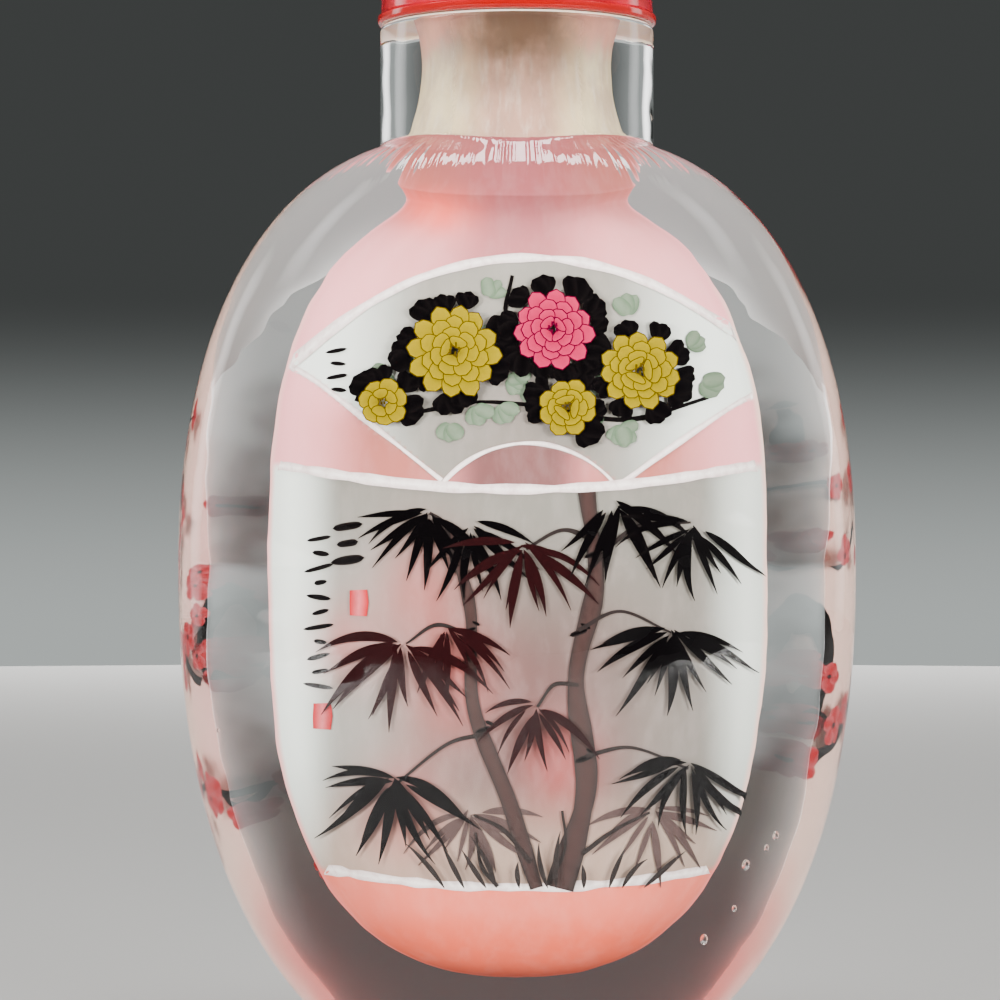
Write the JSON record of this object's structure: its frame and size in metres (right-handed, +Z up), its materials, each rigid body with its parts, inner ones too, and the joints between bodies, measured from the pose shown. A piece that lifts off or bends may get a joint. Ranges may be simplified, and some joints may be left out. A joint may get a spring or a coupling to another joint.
{
  "type": "snuff bottle",
  "caption": "Flattened oval snuff bottle of clear glass, ground hollow inside and painted there, closed by a corked red glass cap that lifts off.",
  "frame": {"origin": "middle of the flat foot, on the surface that the bottle stands on", "axes": "+Z up through the neck, -Y out of the painted front, +X to the right of someone who faces the front"},
  "size_m": [0.052, 0.029, 0.0908],
  "materials": {
    "glass": "polished clear glass outside, ground inside",
    "inside_paint": "matt water-based paint on the ground inside wall, seen through the glass",
    "red_glass": "polished translucent red glass",
    "cork": "dry natural cork"
  },
  "bodies": {
    "root": {"bottle": "glass", "stopper_cap": "red_glass", "stopper_cork": "cork"}
  },
  "joints": []
}
